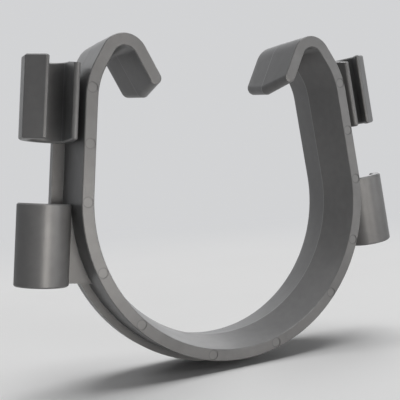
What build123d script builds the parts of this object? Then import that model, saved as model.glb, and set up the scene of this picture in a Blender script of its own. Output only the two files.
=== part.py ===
"""Ring clamp: a moulded hoop with two hooked arms, and a pair of rod clips on each side.

The hoop's axis runs along Y and its front rim faces -Y. The origin is on that axis, in the parting plane.
"""

import os
from math import cos, radians, sin, sqrt, tan

from build123d import *

# Band: the hoop is narrowest in the parting plane and opens towards both rims
rim_inner_radius = 38.75
front_depth = 11.2
back_depth = 9.5
front_wall = 3.1
front_taper = 2.1
back_taper = 1.1
outer_draft = 0.2
lip_draft = 0.3
back_edge_round = 0.9
back_edge_steps = (0, 30, 60, 90)
front_edge_bevel = 0.2

# Arms and hooks, measured along the middle of the front rim's wall
arm_lean = 7.05
arm_length = 28.4
arm_bend_radius = 19.5
leg_lean = 33.0
leg_length = 16.9
hook_radius = 4.66
lip_lean = 26.6
lip_length = 15.65
rim_lip_reach = 0.4
lip_reach = 2.45
back_lip_loss = 1.5
back_lip_growth = 0.4

# Rod clips
rod_radius = 4.5
rod_ahead = 1.5
rod_stand_off = 1.95
clip_wall = 2.3
clip_height = 20.3
clip_gap = 15.4
upper_clip_start = 13.2
clip_leg_ahead = 9.5
clip_leg_outer_lean = 6.0
clip_leg_inner_lean = 10.9
clip_leg_top_drop = 1.8
wrap_angle = 55.0
panel_end_out = 1.4
panel_end_wall = 1.1
panel_ahead = 6.5
panel_corner_ahead = 3.3
clip_end_round = 0.45
clip_leg_round = 0.78
cut_margin = 1.0
clip_edge_bevel = 0.35

# Strip on the band's wall between the two clips of a side
strip_out = 3.35
strip_front = 4.5
strip_thickness = 2.5
strip_below_gap = 7.0
strip_lap = 1.0

# Rib under the hoop, and the webs that join it to the lower clips
rib_height = 2.1
rib_thickness = 3.6
rib_end_angle = -12.0
web_lap = 1.2
web_thickness = 5.2
web_top = -5.0
web_bottom = -21.9

# Ejector pin marks on the front rim
pin_radius = 1.25
pin_mark_depth = 0.15
arm_pin_heights = (26.2, 12.6, -1.5)
hoop_pin_angles = (-20.3, -44.2, -76.1)

# Values that follow from the sizes above
rim_middle_radius = rim_inner_radius + front_wall / 2
rim_outer_radius = rim_middle_radius + front_wall / 2
rod_out = rim_outer_radius + outer_draft + rod_stand_off + rod_radius
shell_radius = rod_radius + clip_wall
lower_clip_start = upper_clip_start - clip_gap - clip_height
upper_clip_top = upper_clip_start + clip_height
strip_start = upper_clip_start - clip_gap - strip_below_gap
rod_axis = Vector(rod_out, -rod_ahead)

front_plane = Plane.XZ.offset(front_depth)
shoulder_plane = Plane.XZ.offset(front_depth - front_edge_bevel)
parting_plane = Plane.XZ
arm_normal = Vector(cos(radians(arm_lean)), sin(radians(arm_lean)))
arm_along = Vector(-sin(radians(arm_lean)), cos(radians(arm_lean)))
leg_normal = Vector(cos(radians(leg_lean)), sin(radians(leg_lean)))
leg_along = Vector(-sin(radians(leg_lean)), cos(radians(leg_lean)))
lip_normal = Vector(-cos(radians(lip_lean)), sin(radians(lip_lean)))
lip_along = Vector(-sin(radians(lip_lean)), -cos(radians(lip_lean)))

arm_corner = arm_normal * rim_middle_radius + arm_along * arm_length
hook_corner = arm_corner + leg_along * leg_length


def arm_section(height):
    """Plane across the right arm at a height along it: x points away from the hoop, y to the back."""
    return Plane(
        origin=(arm_along.X * height, 0, arm_along.Y * height),
        x_dir=(arm_normal.X, 0, arm_normal.Y),
        z_dir=(arm_along.X, 0, arm_along.Y),
    )


def on_arm(out, height):
    """Point in the hoop's own plane, from its reach across the right arm and its height along it."""
    return arm_normal * out + arm_along * height


def clip_leg_end(radius, lean):
    """Front end of a straight leg face that leaves a circle round the rod's axis at a lean."""
    turn = radians(lean)
    forward = clip_leg_ahead - radius * sin(turn)
    return rod_axis + Vector(forward * tan(turn) - radius * cos(turn), -clip_leg_ahead)


def curved_ends(clip):
    """Curved edges round a clip's top and bottom ends; the straight ones in line with them follow."""
    ends = clip.faces().filter_by(Axis((0, 0, 0), (arm_along.X, 0, arm_along.Y)))
    return ends.edges().filter_by(GeomType.CIRCLE)


def meeting_point(corner, first_normal, second_normal, first_shift, second_shift):
    """Where two lines through a corner meet after each is shifted along its own normal."""
    cross = first_normal.X * second_normal.Y - first_normal.Y * second_normal.X
    x = (first_shift * second_normal.Y - second_shift * first_normal.Y) / cross
    y = (second_shift * first_normal.X - first_shift * second_normal.X) / cross
    return corner + Vector(x, y)


def band_outline(plane, inner_extra, outer_extra, lip_extra, reach):
    """The whole band in a plane across its depth: hoop, arms, hooks and rounded lips."""
    outer = front_wall / 2 + outer_extra
    inner = front_wall / 2 + inner_extra
    lip_inner = front_wall / 2 + lip_extra
    lip_end = hook_corner + lip_along * (lip_length + reach)
    outer_end = lip_end + lip_normal * outer
    inner_end = lip_end - lip_normal * lip_inner
    tip = (outer_end + inner_end) / 2 + lip_along * ((outer + lip_inner) / 2)
    outer_hoop = rim_middle_radius + outer
    inner_hoop = rim_middle_radius - inner
    sweep = 90 + arm_lean
    with BuildSketch(plane) as outline:
        with BuildLine():
            CenterArc((0, 0), outer_hoop, -90, sweep)
            FilletPolyline(
                arm_normal * outer_hoop,
                meeting_point(arm_corner, arm_normal, leg_normal, outer, outer),
                meeting_point(hook_corner, leg_normal, lip_normal, outer, outer),
                outer_end,
                radius=(arm_bend_radius + outer, hook_radius + outer),
            )
            ThreePointArc(outer_end, tip, inner_end)
            FilletPolyline(
                inner_end,
                meeting_point(hook_corner, leg_normal, lip_normal, -inner, -lip_inner),
                meeting_point(arm_corner, arm_normal, leg_normal, -inner, -inner),
                arm_normal * inner_hoop,
                radius=(hook_radius - inner, arm_bend_radius - inner),
            )
            CenterArc((0, 0), inner_hoop, arm_lean, -sweep)
            mirror(about=Plane.YZ)
        make_face()
    return outline.sketch


# Band: one loft from the bevelled front rim through the parting plane to the rounded back rim
band_sections = [
    band_outline(front_plane, -front_edge_bevel, -front_edge_bevel, -front_edge_bevel, 0),
    band_outline(shoulder_plane, 0, 0, 0, rim_lip_reach),
    band_outline(parting_plane, front_taper, outer_draft, lip_draft, lip_reach),
]
for step in back_edge_steps:
    inset = back_edge_round * (1 - cos(radians(step)))
    depth = back_depth - back_edge_round * (1 - sin(radians(step)))
    opened = front_taper - back_taper * depth / back_depth
    lip_grown = lip_draft + back_lip_growth * depth / back_depth
    reach = lip_reach - back_lip_loss * depth / back_depth
    step_plane = parting_plane.offset(-depth)
    band_sections.append(
        band_outline(step_plane, opened - inset, outer_draft - inset, lip_grown - inset, reach)
    )

with BuildPart() as band:
    loft(band_sections, ruled=True)

# Upper clip: a leg beside the arm, a trough behind the rod and a panel that wraps round to the front
with BuildPart() as upper_clip:
    with BuildSketch(arm_section(upper_clip_start)) as upper_section:
        with BuildLine():
            trough_start = 180 + clip_leg_outer_lean
            trough = CenterArc(rod_axis, rod_radius, trough_start, -(trough_start + wrap_angle))
            shell = CenterArc(rod_axis, shell_radius, 0, 180 + clip_leg_inner_lean)
            Polyline(
                trough @ 1,
                rod_axis + Vector(panel_end_out, -panel_ahead),
                rod_axis + Vector(panel_end_out + panel_end_wall, -panel_ahead),
                rod_axis + Vector(shell_radius, -panel_corner_ahead),
                shell @ 0,
            )
            Polyline(
                shell @ 1,
                clip_leg_end(shell_radius, clip_leg_inner_lean),
                clip_leg_end(rod_radius, clip_leg_outer_lean),
                trough @ 0,
            )
        make_face()
        fillet(upper_section.vertices().sort_by(Axis.Y)[2:6], radius=clip_end_round)
        fillet(upper_section.vertices().sort_by(Axis.Y)[:2], radius=clip_leg_round)
    extrude(amount=clip_height)
    chamfer(curved_ends(upper_clip), length=clip_edge_bevel)
    with BuildSketch(Plane(origin=(0, 0, 0), x_dir=(0, 1, 0), z_dir=(arm_normal.X, 0, arm_normal.Y))):
        with BuildLine():
            leg_end = -rod_ahead - clip_leg_ahead - cut_margin
            slope = clip_leg_top_drop / clip_leg_ahead
            Polyline(
                (-rod_ahead, upper_clip_top),
                (leg_end, upper_clip_top - slope * (clip_leg_ahead + cut_margin)),
                (leg_end, upper_clip_top + cut_margin),
                (-rod_ahead, upper_clip_top + cut_margin),
                close=True,
            )
        make_face()
    extrude(amount=rod_out, mode=Mode.SUBTRACT)

# Lower clip: a half shell in front of the rod
with BuildPart() as lower_clip:
    with BuildSketch(arm_section(lower_clip_start)) as lower_section:
        with BuildLine():
            hollow = CenterArc(rod_axis, rod_radius, 180, 180)
            cover = CenterArc(rod_axis, shell_radius, 180, 180)
            Line(hollow @ 0, cover @ 0)
            Line(hollow @ 1, cover @ 1)
        make_face()
        fillet(lower_section.vertices().sort_by(Axis.X)[-2:], radius=clip_end_round)
    extrude(amount=clip_height)
    chamfer(curved_ends(lower_clip), length=clip_edge_bevel)

# Strip on the band's wall, behind the rod
with BuildPart() as strip:
    with BuildSketch(arm_section(strip_start)):
        with BuildLine():
            strip_back = strip_front + strip_thickness
            Polyline(
                (rim_middle_radius, strip_front),
                (rim_outer_radius + strip_out, strip_front),
                (rim_outer_radius + strip_out, strip_back),
                (rim_middle_radius, strip_back),
                close=True,
            )
        make_face()
    extrude(amount=upper_clip_start + strip_lap - strip_start)

# Web that joins the foot of the lower clip to the hoop
with BuildPart() as web:
    with BuildSketch(Plane.XZ.offset(rod_ahead + web_lap)):
        with BuildLine():
            leg_out = rod_out - rod_radius - clip_wall / 2
            web_low = on_arm(sqrt(rim_middle_radius**2 - web_bottom**2), web_bottom)
            web_high = on_arm(sqrt(rim_middle_radius**2 - web_top**2), web_top)
            Polyline(web_low, on_arm(leg_out, web_bottom), on_arm(leg_out, web_top), web_high)
            RadiusArc(web_high, web_low, rim_middle_radius)
        make_face()
    extrude(amount=-web_thickness)

# Rib along the hoop's underside
with BuildPart() as rib:
    with BuildSketch(parting_plane):
        with BuildLine():
            rib_start = 180 - rib_end_angle
            rib_sweep = 180 + 2 * rib_end_angle
            crest = CenterArc((0, 0), rim_outer_radius + rib_height, rib_start, rib_sweep)
            root = CenterArc((0, 0), rim_middle_radius, rib_start, rib_sweep)
            Line(crest @ 0, root @ 0)
            Line(crest @ 1, root @ 1)
        make_face()
    extrude(amount=-rib_thickness)

with BuildPart() as ring_clamp:
    add(upper_clip.part)
    add(lower_clip.part)
    add(strip.part)
    add(web.part)
    mirror(about=Plane.YZ)
    add(rib.part)
    add(band.part)
    with BuildSketch(front_plane):
        with Locations([on_arm(rim_middle_radius, height) for height in arm_pin_heights]):
            Circle(pin_radius)
        with Locations([Vector(rim_middle_radius, 0).rotate(Axis.Z, angle) for angle in hoop_pin_angles]):
            Circle(pin_radius)
        mirror(about=Plane.YZ)
    extrude(amount=-pin_mark_depth, mode=Mode.SUBTRACT)

os.makedirs("parts", exist_ok=True)
ring_clamp.part.label = "ring_clamp"
export_step(ring_clamp.part, "parts/ring_clamp.step")
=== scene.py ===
"""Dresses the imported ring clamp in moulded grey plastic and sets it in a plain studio."""

import logging
from dataclasses import dataclass
from enum import Enum
from math import cos, pi, radians, sin

import bmesh
import bpy
from mathutils import Matrix, Vector


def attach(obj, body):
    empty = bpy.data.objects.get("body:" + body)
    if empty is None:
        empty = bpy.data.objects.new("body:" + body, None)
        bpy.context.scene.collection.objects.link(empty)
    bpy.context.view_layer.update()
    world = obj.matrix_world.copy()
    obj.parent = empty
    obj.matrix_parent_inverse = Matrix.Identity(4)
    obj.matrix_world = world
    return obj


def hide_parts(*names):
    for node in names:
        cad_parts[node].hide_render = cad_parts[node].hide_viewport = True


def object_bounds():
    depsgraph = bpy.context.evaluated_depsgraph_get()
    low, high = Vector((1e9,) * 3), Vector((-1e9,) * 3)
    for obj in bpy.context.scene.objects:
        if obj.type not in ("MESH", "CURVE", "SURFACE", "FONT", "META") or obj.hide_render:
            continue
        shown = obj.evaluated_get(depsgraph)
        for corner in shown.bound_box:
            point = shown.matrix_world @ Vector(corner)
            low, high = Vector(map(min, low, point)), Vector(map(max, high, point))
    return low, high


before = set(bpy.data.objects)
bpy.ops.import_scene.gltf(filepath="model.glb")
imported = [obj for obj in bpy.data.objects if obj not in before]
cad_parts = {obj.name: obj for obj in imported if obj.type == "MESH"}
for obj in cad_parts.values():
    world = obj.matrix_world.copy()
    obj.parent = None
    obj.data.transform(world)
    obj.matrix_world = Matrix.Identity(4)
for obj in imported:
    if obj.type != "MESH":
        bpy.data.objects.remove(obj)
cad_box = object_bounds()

log = logging.getLogger("ring_clamp")

Socket = bpy.types.NodeSocket
Point = tuple[float, float, float]
Colour = tuple[float, float, float]
Paint = tuple[float, float, float, float]
Shade = Socket | Paint

CENTRE: Point = (0.0, 0.0, 0.0)
EVEN: Point = (1.0, 1.0, 1.0)
PLAIN: Colour = (1.0, 1.0, 1.0)
WARM: Colour = (1.0, 0.955, 0.9)
COOL: Colour = (0.985, 0.993, 1.01)
SURROUND_GREY = 0.83

# The display curve that turns a grey as it is seen into a linear one.
TOE_END = 0.04045
TOE_SLOPE = 12.92
CURVE_OFFSET = 0.055
CURVE_POWER = 2.4

# Most of a noise's values lie between these two.
NOISE_LOW = 0.3
NOISE_HIGH = 0.7


def linear(grey: float, tint: Colour = PLAIN) -> Paint:
    """Turns a display grey into a linear colour with a slight tint.

    Args:
        grey: Display value from 0 to 1.
        tint: Factor on each channel.

    Returns:
        Red, green, blue and alpha.
    """
    if grey <= TOE_END:
        level = grey / TOE_SLOPE
    else:
        level = ((grey + CURVE_OFFSET) / (1.0 + CURVE_OFFSET)) ** CURVE_POWER
    return (level * tint[0], level * tint[1], level * tint[2], 1.0)


class NodeKind(Enum):
    """The shader nodes that the finishes and the surround are made of."""

    COORDINATES = "ShaderNodeTexCoord"
    MAPPING = "ShaderNodeMapping"
    NOISE = "ShaderNodeTexNoise"
    VECTOR = "ShaderNodeVectorMath"
    MATHS = "ShaderNodeMath"
    AXES = "ShaderNodeSeparateXYZ"
    POINT = "ShaderNodeCombineXYZ"
    MIX = "ShaderNodeMix"
    RANGE = "ShaderNodeMapRange"
    BUMP = "ShaderNodeBump"
    GLOW = "ShaderNodeEmission"
    BLEND = "ShaderNodeMixShader"
    RAYS = "ShaderNodeLightPath"
    BACKDROP = "ShaderNodeBackground"


class Sum(Enum):
    """The sums that a maths node is used for."""

    ADD = "ADD"
    SUBTRACT = "SUBTRACT"
    MULTIPLY = "MULTIPLY"
    MULTIPLY_ADD = "MULTIPLY_ADD"
    ABSOLUTE = "ABSOLUTE"
    LESSER = "MINIMUM"
    GREATER = "MAXIMUM"


class Axis(Enum):
    """The axes of a vector."""

    X = "X"
    Y = "Y"
    Z = "Z"


@dataclass(frozen=True)
class Grain:
    """A noise pattern: features per metre, octaves of finer noise, and the scale of each axis."""

    scale: float
    detail: float
    stretch: Point = EVEN


class Graph:
    """A material's node tree, with short ways to add nodes and join them."""

    def __init__(self, name: str) -> None:
        """Makes a material of that name with one surface shader.

        Args:
            name: The material's name.
        """
        self.material = bpy.data.materials.new(name)
        self.material.use_nodes = True
        self.tree = self.material.node_tree
        self.shader = self.tree.nodes["Principled BSDF"]
        coordinates = self.add(NodeKind.COORDINATES).outputs
        self.place = coordinates["Object"]
        self.facing = coordinates["Normal"]

    def add(self, kind: NodeKind, **values: object) -> bpy.types.Node:
        """Adds a node and sets its inputs by name.

        Args:
            kind: Which node to add.
            values: Input values, with underscores for spaces in the socket's name.

        Returns:
            The new node.
        """
        node = self.tree.nodes.new(kind.value)
        for name, value in values.items():
            node.inputs[name.replace("_", " ")].default_value = value
        return node

    def join(self, source: Socket, target: Socket) -> None:
        """Links one socket to another."""
        self.tree.links.new(source, target)

    def noise(self, grain: Grain) -> Socket:
        """Adds noise on the object's own coordinates.

        Args:
            grain: The noise's pattern.

        Returns:
            The noise's value.
        """
        mapping = self.add(NodeKind.MAPPING, Scale=grain.stretch)
        noise = self.add(NodeKind.NOISE, Scale=grain.scale, Detail=grain.detail)
        self.join(self.place, mapping.inputs["Vector"])
        self.join(mapping.outputs["Vector"], noise.inputs["Vector"])
        return noise.outputs["Fac"]

    def spread(self, source: Socket, low: float, high: float) -> Socket:
        """Maps the middle of a noise onto a range of values.

        Args:
            source: The noise's value.
            low: Result at the low end.
            high: Result at the high end.

        Returns:
            The mapped value.
        """
        mapped = self.add(NodeKind.RANGE, From_Min=NOISE_LOW, From_Max=NOISE_HIGH, To_Min=low, To_Max=high)
        self.join(source, mapped.inputs["Value"])
        return mapped.outputs["Result"]

    def varied(self, source: Socket, contrast: float) -> Socket:
        """Turns a noise into a factor that lies evenly about one.

        Args:
            source: The noise's value.
            contrast: How far the factor goes to either side.

        Returns:
            The factor.
        """
        return self.spread(source, 1.0 - contrast, 1.0 + contrast)

    def axis(self, name: Axis, source: Socket | None = None) -> Socket:
        """Reads one axis of the object's own coordinates, or of another vector.

        Args:
            name: Which axis.
            source: The other vector.

        Returns:
            The value on that axis.
        """
        axes = self.add(NodeKind.AXES)
        self.join(source or self.place, axes.inputs["Vector"])
        return axes.outputs[name.value]

    def maths(self, operation: Sum, *terms: Socket | float) -> Socket:
        """Adds a sum on sockets and plain numbers.

        Args:
            operation: Which sum.
            terms: Sockets or numbers, in the node's order.

        Returns:
            The result.
        """
        node = self.add(NodeKind.MATHS)
        node.operation = operation.value
        for term, target in zip(terms, node.inputs):
            if isinstance(term, Socket):
                self.join(term, target)
            else:
                target.default_value = term
        return node.outputs["Value"]

    def ramp(self, source: Socket, near: float, far: float, at_near: float, at_far: float) -> Socket:
        """Maps a value smoothly from one range onto another.

        Args:
            source: The value.
            near: Low end of its range.
            far: High end of its range.
            at_near: Result at the low end.
            at_far: Result at the high end.

        Returns:
            The mapped value.
        """
        mapped = self.add(NodeKind.RANGE, From_Min=near, From_Max=far, To_Min=at_near, To_Max=at_far)
        mapped.interpolation_type = "SMOOTHSTEP"
        self.join(source, mapped.inputs["Value"])
        return mapped.outputs["Result"]

    def mixed(self, share: Socket, first: Shade, second: Shade) -> Socket:
        """Mixes two colours, each a socket or a plain colour.

        Args:
            share: Share of the second colour.
            first: The first colour.
            second: The second colour.

        Returns:
            The mixed colour.
        """
        node = self.add(NodeKind.MIX)
        node.data_type = "RGBA"
        inputs = [socket for socket in node.inputs if socket.type == "RGBA"]
        for colour, target in zip((first, second), inputs):
            if isinstance(colour, Socket):
                self.join(colour, target)
            else:
                target.default_value = colour
        self.join(share, node.inputs["Factor"])
        return [socket for socket in node.outputs if socket.type == "RGBA"][0]

    def scaled(self, colour: Socket, factor: Socket) -> Socket:
        """Multiplies a colour by a value.

        Args:
            colour: The colour.
            factor: The value.

        Returns:
            The scaled colour.
        """
        node = self.add(NodeKind.VECTOR)
        node.operation = "SCALE"
        self.join(colour, node.inputs["Vector"])
        self.join(factor, node.inputs["Scale"])
        return node.outputs["Vector"]

    def distance(self, source: Socket, target: Point | Vector) -> Socket:
        """Measures how far a vector is from a fixed point.

        Args:
            source: The vector.
            target: The point.

        Returns:
            The distance in metres.
        """
        node = self.add(NodeKind.VECTOR)
        node.operation = "DISTANCE"
        self.join(source, node.inputs[0])
        node.inputs[1].default_value = target
        return node.outputs["Value"]

    def bump(self, height: Socket, strength: float, depth: float, under: Socket | None = None) -> Socket:
        """Adds a bump layer, over another one if it is given.

        Args:
            height: The height map.
            strength: Share of the bump that shows.
            depth: Height in metres of the map's full range.
            under: Normal of the layer below.

        Returns:
            The bumped normal.
        """
        layer = self.add(NodeKind.BUMP, Strength=strength, Distance=depth)
        self.join(height, layer.inputs["Height"])
        if under is not None:
            self.join(under, layer.inputs["Normal"])
        return layer.outputs["Normal"]


@dataclass(frozen=True)
class PinMarks:
    """Places of the round ejector pin marks on the front rim."""

    rim_radius: float = 0.0403
    arm_lean: float = 7.05
    arm_heights: tuple[float, ...] = (0.0262, 0.0126, -0.0015)
    hoop_angles: tuple[float, ...] = (-20.3, -44.2, -76.1)
    radius: float = 0.00125
    edge: float = 0.00022
    edge_core: float = 0.4
    front: float = -0.0108
    front_fade: float = 0.0002

    def places(self) -> list[Vector]:
        """Works out the marks of the right side.

        Returns:
            Their centres, with no depth.
        """
        lean = radians(self.arm_lean)
        out = Vector((cos(lean), 0.0, sin(lean)))
        up = Vector((-sin(lean), 0.0, cos(lean)))
        on_arm = [out * self.rim_radius + up * height for height in self.arm_heights]
        turns = [radians(angle) for angle in self.hoop_angles]
        return on_arm + [Vector((cos(turn), 0.0, sin(turn))) * self.rim_radius for turn in turns]


@dataclass(frozen=True)
class MouldedPlastic:
    """Satin grey plastic as it leaves the mould: flow marks, a parting line with a painted highlight, pin
    marks with painted shade round their edges, and a fine skin.
    """

    name: str = "grey_plastic"
    grey: float = 0.345
    tint: Colour = (0.985, 0.995, 1.02)
    clouds: Grain = Grain(55.0, 3.0)
    cloud_contrast: float = 0.035
    cloud_low: float = 0.2
    cloud_high: float = 0.8
    streaks: Grain = Grain(40.0, 2.0, (1.0, 9.0, 1.0))
    streak_contrast: float = 0.02
    mottle: Grain = Grain(420.0, 4.0)
    mottle_contrast: float = 0.07
    polish: Grain = Grain(120.0, 2.0)
    gloss_low: float = 0.36
    gloss_high: float = 0.42
    specular: float = 0.5
    waves: Grain = Grain(90.0, 1.0)
    wave_depth: float = 0.00006
    wave_share: float = 0.35
    skin: Grain = Grain(2600.0, 2.0)
    skin_depth: float = 0.00002
    skin_share: float = 0.3
    line_width: float = 0.00026
    line_core: float = 0.3
    # How much paler the parting line is painted: a painted highlight on its ridge.
    painted_line_highlight: float = 0.45
    line_height: float = 0.00005
    line_share: float = 0.6
    wall_facing: float = 0.5
    rim_facing: float = 0.8
    pins: PinMarks = PinMarks()
    # Painted shade round each pin mark's edge.
    pin_edge_shade: float = 0.3
    pin_face_lift: float = 0.12

    def build(self) -> bpy.types.Material:
        """Makes the material.

        Returns:
            The finished material.
        """
        graph = Graph(self.name)
        shader = graph.shader
        line = self.parting_line(graph)
        tone = self.base_tone(graph)
        # The parting line's paler tone is a painted highlight where its ridge catches the light.
        tone = graph.scaled(tone, graph.maths(Sum.MULTIPLY_ADD, line, self.painted_line_highlight, 1.0))
        tone = graph.scaled(tone, self.pin_shade(graph))
        graph.join(tone, shader.inputs["Base Color"])

        gloss = graph.spread(graph.noise(self.polish), self.gloss_low, self.gloss_high)
        graph.join(gloss, shader.inputs["Roughness"])
        shader.inputs["Specular IOR Level"].default_value = self.specular

        swell = graph.bump(graph.noise(self.waves), self.wave_share, self.wave_depth)
        ridge = graph.bump(line, self.line_share, self.line_height, swell)
        surface = graph.bump(graph.noise(self.skin), self.skin_share, self.skin_depth, ridge)
        graph.join(surface, shader.inputs["Normal"])
        return graph.material

    def base_tone(self, graph: Graph) -> Socket:
        """Makes the cloudy, streaked grey of the plastic.

        Args:
            graph: The finish's node tree.

        Returns:
            The colour.
        """
        clouds = graph.spread(graph.noise(self.clouds), self.cloud_low, self.cloud_high)
        darker = linear(self.grey - self.cloud_contrast, self.tint)
        lighter = linear(self.grey + self.cloud_contrast, self.tint)
        tone = graph.mixed(clouds, darker, lighter)
        tone = graph.scaled(tone, graph.varied(graph.noise(self.streaks), self.streak_contrast))
        return graph.scaled(tone, graph.varied(graph.noise(self.mottle), self.mottle_contrast))

    def parting_line(self, graph: Graph) -> Socket:
        """Finds the thin line where the mould's halves met, on walls that cross the plane through the origin.

        Args:
            graph: The finish's node tree.

        Returns:
            One on the line, falling to nought beside it.
        """
        aside = graph.maths(Sum.ABSOLUTE, graph.axis(Axis.Y))
        line = graph.ramp(aside, self.line_width * self.line_core, self.line_width, 1.0, 0.0)
        turned = graph.maths(Sum.ABSOLUTE, graph.axis(Axis.Y, graph.facing))
        on_wall = graph.ramp(turned, self.wall_facing, self.rim_facing, 1.0, 0.0)
        return graph.maths(Sum.MULTIPLY, line, on_wall)

    def pin_shade(self, graph: Graph) -> Socket:
        """Makes painted shade round the pin marks' edges and paler faces on them, the same on both sides.

        Args:
            graph: The finish's node tree.

        Returns:
            A factor on the colour, which is one away from the marks.
        """
        pins = self.pins
        spot = graph.add(NodeKind.POINT)
        graph.join(graph.maths(Sum.ABSOLUTE, graph.axis(Axis.X)), spot.inputs["X"])
        graph.join(graph.axis(Axis.Z), spot.inputs["Z"])
        first, *others = [graph.distance(spot.outputs["Vector"], place) for place in pins.places()]
        nearest = first
        for reach in others:
            nearest = graph.maths(Sum.LESSER, nearest, reach)
        on_rim = graph.ramp(graph.axis(Axis.Y), pins.front, pins.front + pins.front_fade, 1.0, 0.0)
        from_edge = graph.maths(Sum.ABSOLUTE, graph.maths(Sum.SUBTRACT, nearest, pins.radius))
        # Painted shade in a ring round each pin mark's edge.
        edge = graph.ramp(from_edge, pins.edge * pins.edge_core, pins.edge, -self.pin_edge_shade, 0.0)
        face = graph.ramp(nearest, pins.radius - pins.edge, pins.radius, self.pin_face_lift, 0.0)
        change = graph.maths(Sum.MULTIPLY, graph.maths(Sum.ADD, edge, face), on_rim)
        return graph.maths(Sum.ADD, change, 1.0)


def seen_rays(tree: bpy.types.NodeTree) -> Socket:
    """Tells the rays that show the surroundings from those that only carry light.

    Args:
        tree: The node tree of a material or world.

    Returns:
        One for a camera, glossy or transmission ray, and nought for the rest.
    """
    path = tree.nodes.new(NodeKind.RAYS.value)
    rays = path.outputs["Is Camera Ray"]
    for kind in ("Is Glossy Ray", "Is Transmission Ray"):
        either = tree.nodes.new(NodeKind.MATHS.value)
        either.operation = Sum.GREATER.value
        tree.links.new(rays, either.inputs[0])
        tree.links.new(path.outputs[kind], either.inputs[1])
        rays = either.outputs["Value"]
    return rays


@dataclass(frozen=True)
class PaleFloor:
    """Matt pale studio floor with a faint mottle, which fades into the surround far from the clamp."""

    name: str = "pale_floor"
    grey: float = 0.93
    mottle: Grain = Grain(9.0, 2.0)
    contrast: float = 0.006
    roughness: float = 0.85
    bounce_grey: float = 0.6
    fade_start: float = 0.1
    fade_end: float = 0.5
    far_grey: float = SURROUND_GREY

    def build(self) -> bpy.types.Material:
        """Makes the material.

        Returns:
            The finished material.
        """
        graph = Graph(self.name)
        mottle = graph.spread(graph.noise(self.mottle), 0.0, 1.0)
        tone = graph.mixed(mottle, linear(self.grey - self.contrast), linear(self.grey + self.contrast))
        rays = seen_rays(graph.tree)
        graph.join(graph.mixed(rays, linear(self.bounce_grey), tone), graph.shader.inputs["Base Color"])
        graph.shader.inputs["Roughness"].default_value = self.roughness
        self.fade(graph, rays)
        return graph.material

    def fade(self, graph: Graph, rays: Socket) -> None:
        """Blends the floor into the surround's own tone with the distance from the clamp.

        Args:
            graph: The floor's node tree.
            rays: One for the rays that show the floor.
        """
        share = graph.add(NodeKind.RANGE, From_Min=self.fade_start, From_Max=self.fade_end)
        share.interpolation_type = "SMOOTHERSTEP"
        graph.join(graph.distance(graph.place, CENTRE), share.inputs["Value"])
        seen_share = graph.maths(Sum.MULTIPLY, share.outputs["Result"], rays)
        far_tone = graph.add(NodeKind.GLOW, Color=linear(self.far_grey, COOL), Strength=1.0)
        blend = graph.add(NodeKind.BLEND)
        graph.join(seen_share, blend.inputs["Fac"])
        graph.join(graph.shader.outputs["BSDF"], blend.inputs[1])
        graph.join(far_tone.outputs["Emission"], blend.inputs[2])
        graph.join(blend.outputs["Shader"], graph.tree.nodes["Material Output"].inputs["Surface"])


@dataclass
class RingClamp:
    """The moulded clamp: the frame's own shape with its curved walls shaded smooth, dressed in its finish."""

    node: str = "ring_clamp"
    name: str = "moulded_clamp"
    body: str = "root"
    slot: str = "grey_plastic"
    merge_distance: float = 1e-6
    crease_angle: float = 35.0
    plane_distance: float = 1e-5
    area_weight: int = 50
    finish: MouldedPlastic = MouldedPlastic()

    def in_parting_plane(self, edge: bmesh.types.BMEdge) -> bool:
        """Tells whether an edge lies where the mould's halves met, at the band's narrowest."""
        return all(abs(corner.co.y) < self.plane_distance for corner in edge.verts)

    def build(self) -> bpy.types.Object:
        """Copies the frame's node, joins its triangles and leaves only true corners sharp.

        Returns:
            The clamp's object.
        """
        shape = bmesh.new()
        shape.from_mesh(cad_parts[self.node].data)
        bmesh.ops.remove_doubles(shape, verts=shape.verts, dist=self.merge_distance)
        limit = radians(self.crease_angle)
        for face in shape.faces:
            face.smooth = True
        for edge in shape.edges:
            edge.smooth = edge.calc_face_angle(pi) < limit and not self.in_parting_plane(edge)
        mesh = bpy.data.meshes.new(self.name)
        shape.to_mesh(mesh)
        shape.free()
        clamp = bpy.data.objects.new(self.name, mesh)
        bpy.context.scene.collection.objects.link(clamp)
        even = clamp.modifiers.new("even_shading", "WEIGHTED_NORMAL")
        even.mode = "FACE_AREA_WITH_ANGLE"
        even.weight = self.area_weight
        even.keep_sharp = True
        return clamp

    def dress(self, clamp: bpy.types.Object) -> None:
        """Gives the clamp its finish and lets it stand for the frame's node.

        Args:
            clamp: The clamp's object.
        """
        clamp.data.materials.append(self.finish.build())
        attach(clamp, self.body)
        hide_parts(self.node)


@dataclass(frozen=True)
class Softbox:
    """An area light that faces the clamp: a small near panel or a large far box."""

    name: str
    place: Point
    width: float
    height: float
    power: float
    target: Point = CENTRE
    beam: float = 3.0
    colour: Colour = PLAIN
    on_floor: bool = True

    def build(self, lit_alone: bpy.types.Collection) -> bpy.types.Object:
        """Makes the light, which leaves out the floor where it would show there.

        Args:
            lit_alone: Collection that holds only the clamp.

        Returns:
            The light object.
        """
        lamp = bpy.data.lights.new(self.name, "AREA")
        lamp.shape = "RECTANGLE"
        lamp.size = self.width
        lamp.size_y = self.height
        lamp.energy = self.power
        lamp.spread = self.beam
        lamp.color = self.colour
        light = bpy.data.objects.new(self.name, lamp)
        light.visible_camera = False
        aim = Vector(self.target) - Vector(self.place)
        turn = aim.to_track_quat("-Z", "Y").to_matrix().to_4x4()
        light.matrix_world = Matrix.Translation(self.place) @ turn
        bpy.context.scene.collection.objects.link(light)
        if not self.on_floor:
            light.light_linking.receiver_collection = lit_alone
        return light


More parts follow.
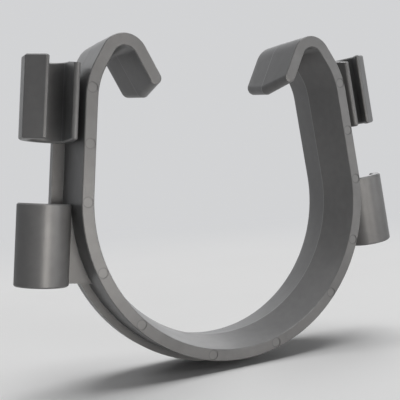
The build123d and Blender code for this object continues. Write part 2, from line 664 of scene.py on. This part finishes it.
@dataclass(frozen=True)
class SoftSun:
    """A broad even light from one direction, the same over clamp and floor."""

    name: str
    direction: Point
    spread: float
    strength: float

    def build(self, _lit_alone: bpy.types.Collection) -> bpy.types.Object:
        """Makes the light.

        Args:
            _lit_alone: Collection that holds only the clamp, which this light has no need of.

        Returns:
            The light object.
        """
        lamp = bpy.data.lights.new(self.name, "SUN")
        lamp.angle = self.spread
        lamp.energy = self.strength
        light = bpy.data.objects.new(self.name, lamp)
        light.matrix_world = (-Vector(self.direction)).to_track_quat("-Z", "Y").to_matrix().to_4x4()
        bpy.context.scene.collection.objects.link(light)
        return light


@dataclass(frozen=True)
class StillCamera:
    """The camera, at the photograph's own viewing angle."""

    name: str = "still_camera"
    place: Point = (-0.093533, -0.179124, 0.009822)
    right: Point = (0.89231, -0.44563, -0.07217)
    up: Point = (0.08438, 0.0076, 0.9964)
    lens: float = 65.5
    sensor: float = 36.0
    nearest: float = 0.005

    def build(self) -> bpy.types.Object:
        """Makes the camera and hands it to the scene.

        Returns:
            The camera object.
        """
        data = bpy.data.cameras.new(self.name)
        data.sensor_width = self.sensor
        data.lens = self.lens
        data.clip_start = self.nearest
        camera = bpy.data.objects.new(self.name, data)
        right = Vector(self.right).normalized()
        back = right.cross(Vector(self.up)).normalized()
        turn = Matrix((right, back.cross(right), back)).transposed().to_4x4()
        camera.matrix_world = Matrix.Translation(self.place) @ turn
        bpy.context.scene.collection.objects.link(camera)
        bpy.context.scene.camera = camera
        return camera


@dataclass
class Studio:
    """Plain pale floor, soft lights and an even pale surround."""

    floor_radius: float = 3.0
    floor_sides: int = 96
    surround_grey: float = SURROUND_GREY
    ambient: float = 0.06
    finish: PaleFloor = PaleFloor()
    lights: tuple[Softbox | SoftSun, ...] = (
        SoftSun("overhead_light", direction=(0.12, 0.05, 1.0), spread=0.7, strength=1.9),
        Softbox("low_left_panel", (-0.032, -0.16, -0.016), width=0.06, height=0.055, power=0.036,
                target=(-0.012, 0.0, -0.014), beam=1.3, colour=WARM, on_floor=False),
        Softbox("low_right_panel", (0.055, -0.16, -0.012), width=0.07, height=0.05, power=0.018,
                target=(0.03, 0.0, -0.005), beam=1.5, colour=WARM, on_floor=False),
        Softbox("high_panel", (0.02, -0.16, 0.08), width=0.04, height=0.05, power=0.014,
                target=(0.01, 0.0, 0.0), beam=1.5, colour=WARM, on_floor=False),
        Softbox("right_softbox", (0.6, -0.6, 0.15), width=0.35, height=0.4, power=1.3),
        Softbox("right_back_softbox", (0.6, 0.6, 0.3), width=0.4, height=0.4, power=0.45),
        Softbox("left_top_softbox", (-0.45, 0.4, 0.7), width=0.4, height=0.4, power=0.7),
        Softbox("back_softbox", (0.25, 0.6, 0.2), width=1.0, height=0.5, power=0.7, on_floor=False),
    )

    def build_floor(self) -> bpy.types.Object:
        """Makes the floor just under the clamp.

        Returns:
            The floor object.
        """
        sheet = bmesh.new()
        level = Matrix.Translation((0.0, 0.0, cad_box[0].z))
        bmesh.ops.create_circle(sheet, cap_ends=True, segments=self.floor_sides, radius=self.floor_radius,
                                matrix=level)
        mesh = bpy.data.meshes.new("floor")
        sheet.to_mesh(mesh)
        sheet.free()
        floor = bpy.data.objects.new("floor", mesh)
        floor.data.materials.append(self.finish.build())
        bpy.context.scene.collection.objects.link(floor)
        return floor

    def build_surround(self) -> bpy.types.World:
        """Makes the pale world: soft light on the clamp, plain pale to the eye.

        Returns:
            The world.
        """
        world = bpy.data.worlds.new("surround")
        world.use_nodes = True
        tree = world.node_tree
        soft = tree.nodes["Background"]
        soft.inputs["Color"].default_value = (*PLAIN, 1.0)
        soft.inputs["Strength"].default_value = self.ambient
        seen = tree.nodes.new(NodeKind.BACKDROP.value)
        seen.inputs["Color"].default_value = linear(self.surround_grey, COOL)
        seen.inputs["Strength"].default_value = 1.0
        choose = tree.nodes.new(NodeKind.BLEND.value)
        tree.links.new(seen_rays(tree), choose.inputs["Fac"])
        tree.links.new(soft.outputs["Background"], choose.inputs[1])
        tree.links.new(seen.outputs["Background"], choose.inputs[2])
        tree.links.new(choose.outputs["Shader"], tree.nodes["World Output"].inputs["Surface"])
        bpy.context.scene.world = world
        return world

    def build(self, clamp: bpy.types.Object) -> None:
        """Makes the whole studio around the clamp.

        Args:
            clamp: The dressed clamp.
        """
        self.build_floor()
        self.build_surround()
        lit_alone = bpy.data.collections.new("lit_alone")
        lit_alone.objects.link(clamp)
        for light in self.lights:
            light.build(lit_alone)
        bpy.context.scene.view_settings.view_transform = "Standard"


def main() -> None:
    """Builds the clamp, its studio and the camera in order."""
    logging.basicConfig(level=logging.INFO, format="%(name)s: %(message)s")
    ring_clamp = RingClamp()
    clamp = ring_clamp.build()
    ring_clamp.dress(clamp)
    log.info("dressed %s with %s", clamp.name, clamp.data.materials[0].name)
    Studio().build(clamp)
    StillCamera().build()
    log.info("studio and camera ready")


if __name__ == "__main__":
    main()
